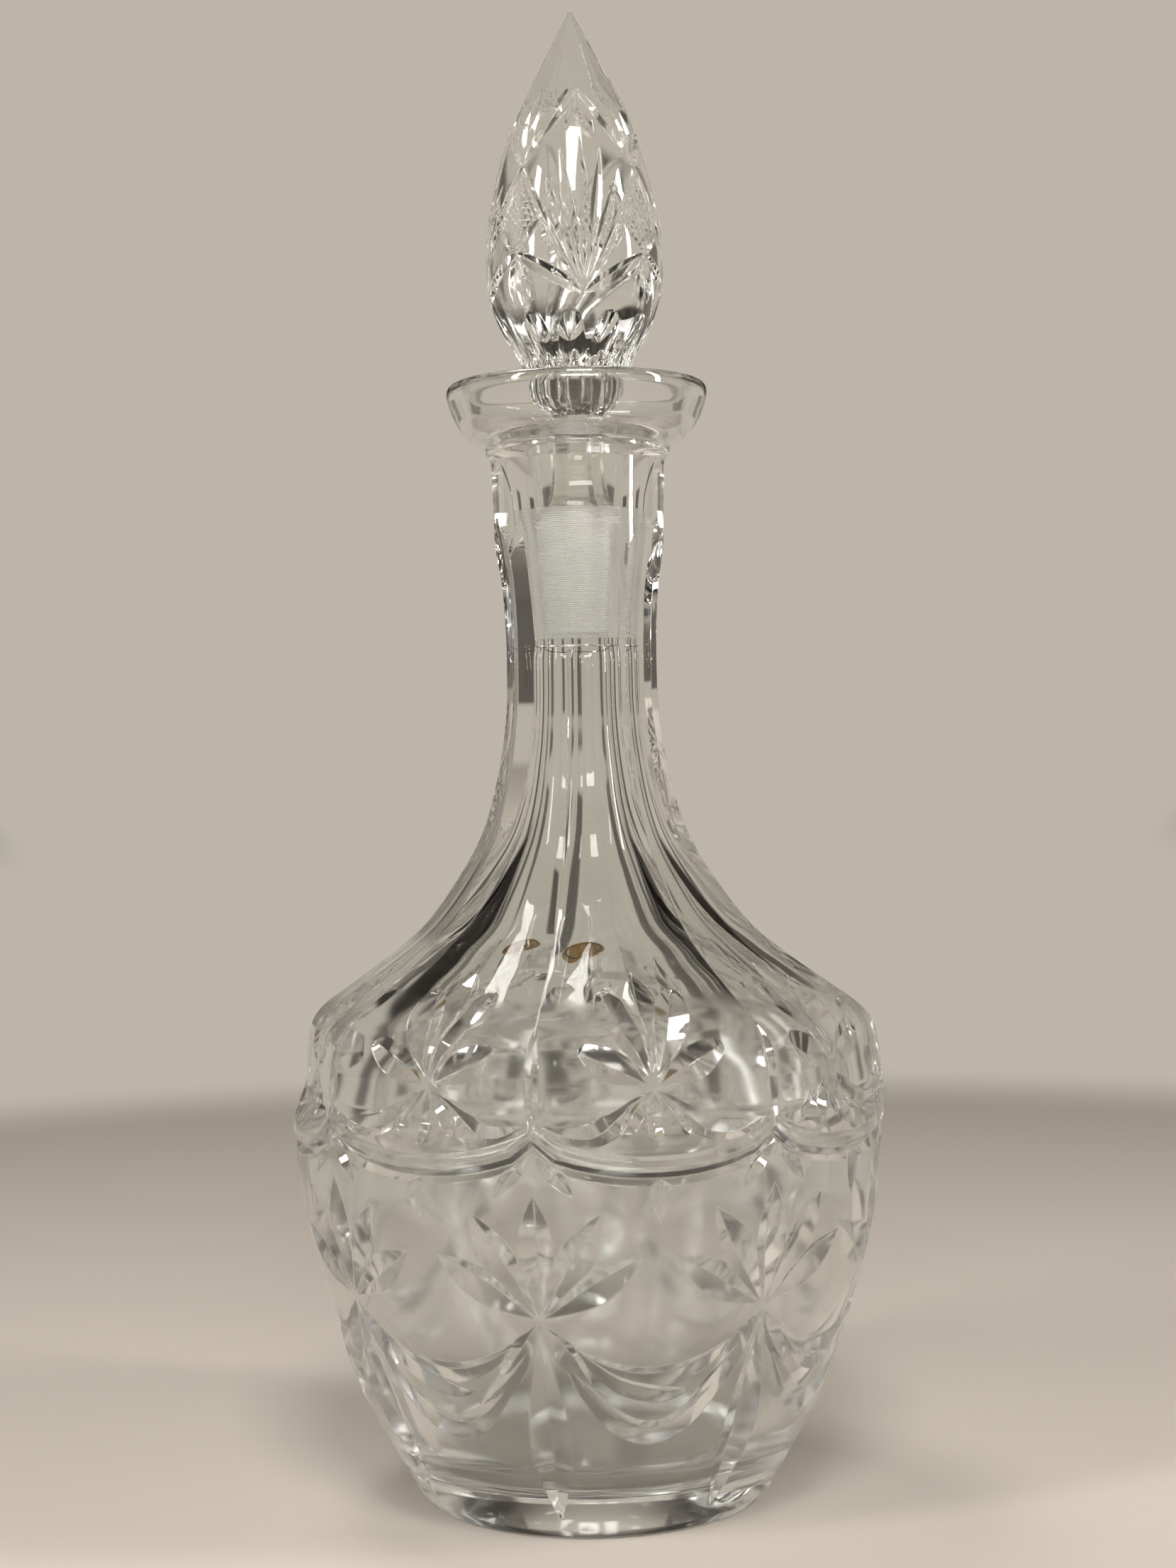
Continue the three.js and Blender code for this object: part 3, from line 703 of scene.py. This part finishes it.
# Twelve round flutes from the stem out to the foot of the faces.
flute = [(FACE_MIDDLE + FLUTE_TURN, height) for height in (250.5, 258, 267, 277)]
wheel_cut(
    stopper, stopper_skin, flute, width=7.8, depth=1.5, copies=FLUTES,
    lift=0.25, belly=0.62, ends=(0.7, 0.4), sides=12,
)

# The fan of leaves up the middle of each face.
for lean, length, width in ((0, 39, 3.6), (-9, 36, 3.4), (9, 36, 3.4), (-18, 30, 3.4), (18, 30, 3.4)):
    leaf = ray(stopper_skin, FACE_MIDDLE, FACE_FOOT, lean, length)
    wheel_cut(stopper, stopper_skin, leaf, width, FAN_LEAF_DEPTH, FACES)

# The mitres of one half of a face, from point to point, as degrees from its middle and height, with the
# width and depth of the cut: the hexagon, the kite in the corner between two faces, and the leaves by it.
CORNER_TOP = (45, 310.4)
CORNER_FOOT = (45, 289.7)
NODE = (27, 297.4)
for start, end, width, depth, ends in (
    ((0, FACE_TOP), CORNER_TOP, 2.5, 1.3, (0.35, 0.35)),
    (CORNER_TOP, (0, FACE_FOOT), 2.6, 1.3, (0.35, 0.6)),
    (CORNER_FOOT, (0, FACE_FOOT), 3.8, 1.7, (0.5, 0.8)),
    (CORNER_FOOT, NODE, 2.4, 1.2, (0.4, 0.7)),
    (CORNER_TOP, NODE, 2.4, 1.2, (0.4, 0.7)),
    (CORNER_TOP, (30, 319.5), 2.6, 1.2, (0.7, 1)),
    (CORNER_TOP, (38, 325), 2.2, 1.1, (0.7, 1)),
    ((0, FACE_TOP), (12, 317), 2.4, 1.2, (0.7, 1)),
    (CORNER_FOOT, (36, 278.5), 2.8, 1.2, (0.8, 1)),
    (CORNER_FOOT, (45, 277), 2.6, 1.2, (0.8, 1)),
    (NODE, (20, 305), 2.6, 1.1, (1, 1)),
    (NODE, (21, 290), 2.4, 1.1, (1, 1)),
):
    for side in (-1, 1):
        mitre = [(FACE_MIDDLE + side * turn, height) for turn, height in (start, end)]
        wheel_cut(stopper, stopper_skin, mitre, width, depth, FACES, ends=ends)

# Hobnail: two sets of narrow cuts across the kite, each from one of its lower sides to an upper one.
for side in (-1, 1):
    for k in range(1, HOBNAIL_LINES + 1):
        share = k / (HOBNAIL_LINES + 1)
        low = Vector(CORNER_FOOT).lerp(Vector((90 - NODE[0], NODE[1])), share)
        high = Vector(NODE).lerp(Vector(CORNER_TOP), share)
        line = [(FACE_MIDDLE + side * turn, height) for turn, height in (low, high)]
        wheel_cut(stopper, stopper_skin, line, HOBNAIL_WIDTH, HOBNAIL_DEPTH, FACES, ends=(0.35, 0.35))

polish(stopper)

PLUG_GROUND = (0.2018, 0.2296)
stopper_crystal = worn_crystal("lead crystal, cut, with a ground plug", 0xf8f9f6, *PLUG_GROUND)
stopper.data.materials.clear()
stopper.data.materials.append(stopper_crystal)

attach(stopper, "stopper")
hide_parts("stopper")

# Foil label
# A blank oval of thin gold foil stuck on the rear panel of the shoulder, seen through the glass. A line is
# pressed into it near its edge, its field has a fine pressed grain, and it has dulled with age.
LABEL_HALF_WIDTH = 0.011
GOLD = 0xd9ab52
TARNISH = 0xa57f3a
# The darker colour that the pressed line is given.
PRESSED_LINE_COLOUR = 0x5c4722
# Where the pressed line begins and ends, each with a soft edge, as shares of the way out to the rim.
LINE_START = (0.78, 0.82)
LINE_END = (0.86, 0.9)

foil = bpy.data.materials.new("gold foil, embossed and aged")
foil.use_nodes = True
shader = foil.node_tree.nodes["Principled BSDF"]
shader.inputs["Metallic"].default_value = 1.0
label_low, label_high = (Vector(corner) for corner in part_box("foil_label"))
label_centre = (label_low + label_high) / 2
across = Vector((-label_centre.y, label_centre.x, 0)).normalized()
place = node(foil, "ShaderNodeTexCoord").outputs["Object"]
offset = node(foil, "ShaderNodeVectorMath", {"operation": "SUBTRACT", 1: label_centre}, {0: place})
side = node(
    foil, "ShaderNodeVectorMath", {"operation": "DOT_PRODUCT", 1: across / LABEL_HALF_WIDTH},
    {0: offset.outputs[0]},
)
rise = node(
    foil, "ShaderNodeVectorMath",
    {"operation": "DOT_PRODUCT", 1: (0, 0, 2 / (label_high.z - label_low.z))}, {0: offset.outputs[0]},
)
flat = node(foil, "ShaderNodeCombineXYZ", links={0: side.outputs["Value"], 1: rise.outputs["Value"]})
reach = node(foil, "ShaderNodeVectorMath", {"operation": "LENGTH"}, {0: flat.outputs[0]})
rim = node(foil, "ShaderNodeMapRange", {1: LINE_END[0], 2: LINE_END[1]}, {0: reach.outputs["Value"]})
field = node(
    foil, "ShaderNodeMapRange", {1: LINE_START[0], 2: LINE_START[1], 3: 1, 4: 0}, {0: reach.outputs["Value"]}
)
raised = node(foil, "ShaderNodeMath", {"operation": "MAXIMUM"}, {0: rim.outputs[0], 1: field.outputs[0]})
# Pressed grain of about 0.3 mm, and blotches of tarnish a few millimetres wide.
grain = node(foil, "ShaderNodeTexNoise", {"Scale": 3200, "Detail": 2}, {"Vector": place})
blotches = node(foil, "ShaderNodeTexNoise", {"Scale": 330, "Detail": 4}, {"Vector": place})
tarnish = node(foil, "ShaderNodeMapRange", {1: 0.42, 2: 0.68}, {0: blotches.outputs[0]})
# Gold that has tarnished in blotches, and a darker colour in the pressed line.
gold = node(
    foil, "ShaderNodeMix", {"data_type": "RGBA", 6: linear(GOLD), 7: linear(TARNISH)},
    {0: tarnish.outputs[0]},
)
gold_and_line = node(
    foil, "ShaderNodeMix", {"data_type": "RGBA", 6: linear(PRESSED_LINE_COLOUR)}, {0: raised.outputs[0], 7: gold.outputs[2]}
)
dull = node(foil, "ShaderNodeMapRange", {3: 0.26, 4: 0.5}, {0: blotches.outputs[0]})
pressed = node(
    foil, "ShaderNodeMath", {"operation": "MULTIPLY_ADD", 1: 0.35},
    {0: grain.outputs[0], 2: raised.outputs[0]},
)
relief = node(foil, "ShaderNodeBump", {"Strength": 0.6, "Distance": 0.0001}, {"Height": pressed.outputs[0]})
foil.node_tree.links.new(gold_and_line.outputs[2], shader.inputs["Base Color"])
foil.node_tree.links.new(dull.outputs[0], shader.inputs["Roughness"])
foil.node_tree.links.new(relief.outputs[0], shader.inputs["Normal"])
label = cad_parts["foil_label"]
label.data.materials.clear()
label.data.materials.append(foil)

# Sizes
low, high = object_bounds()
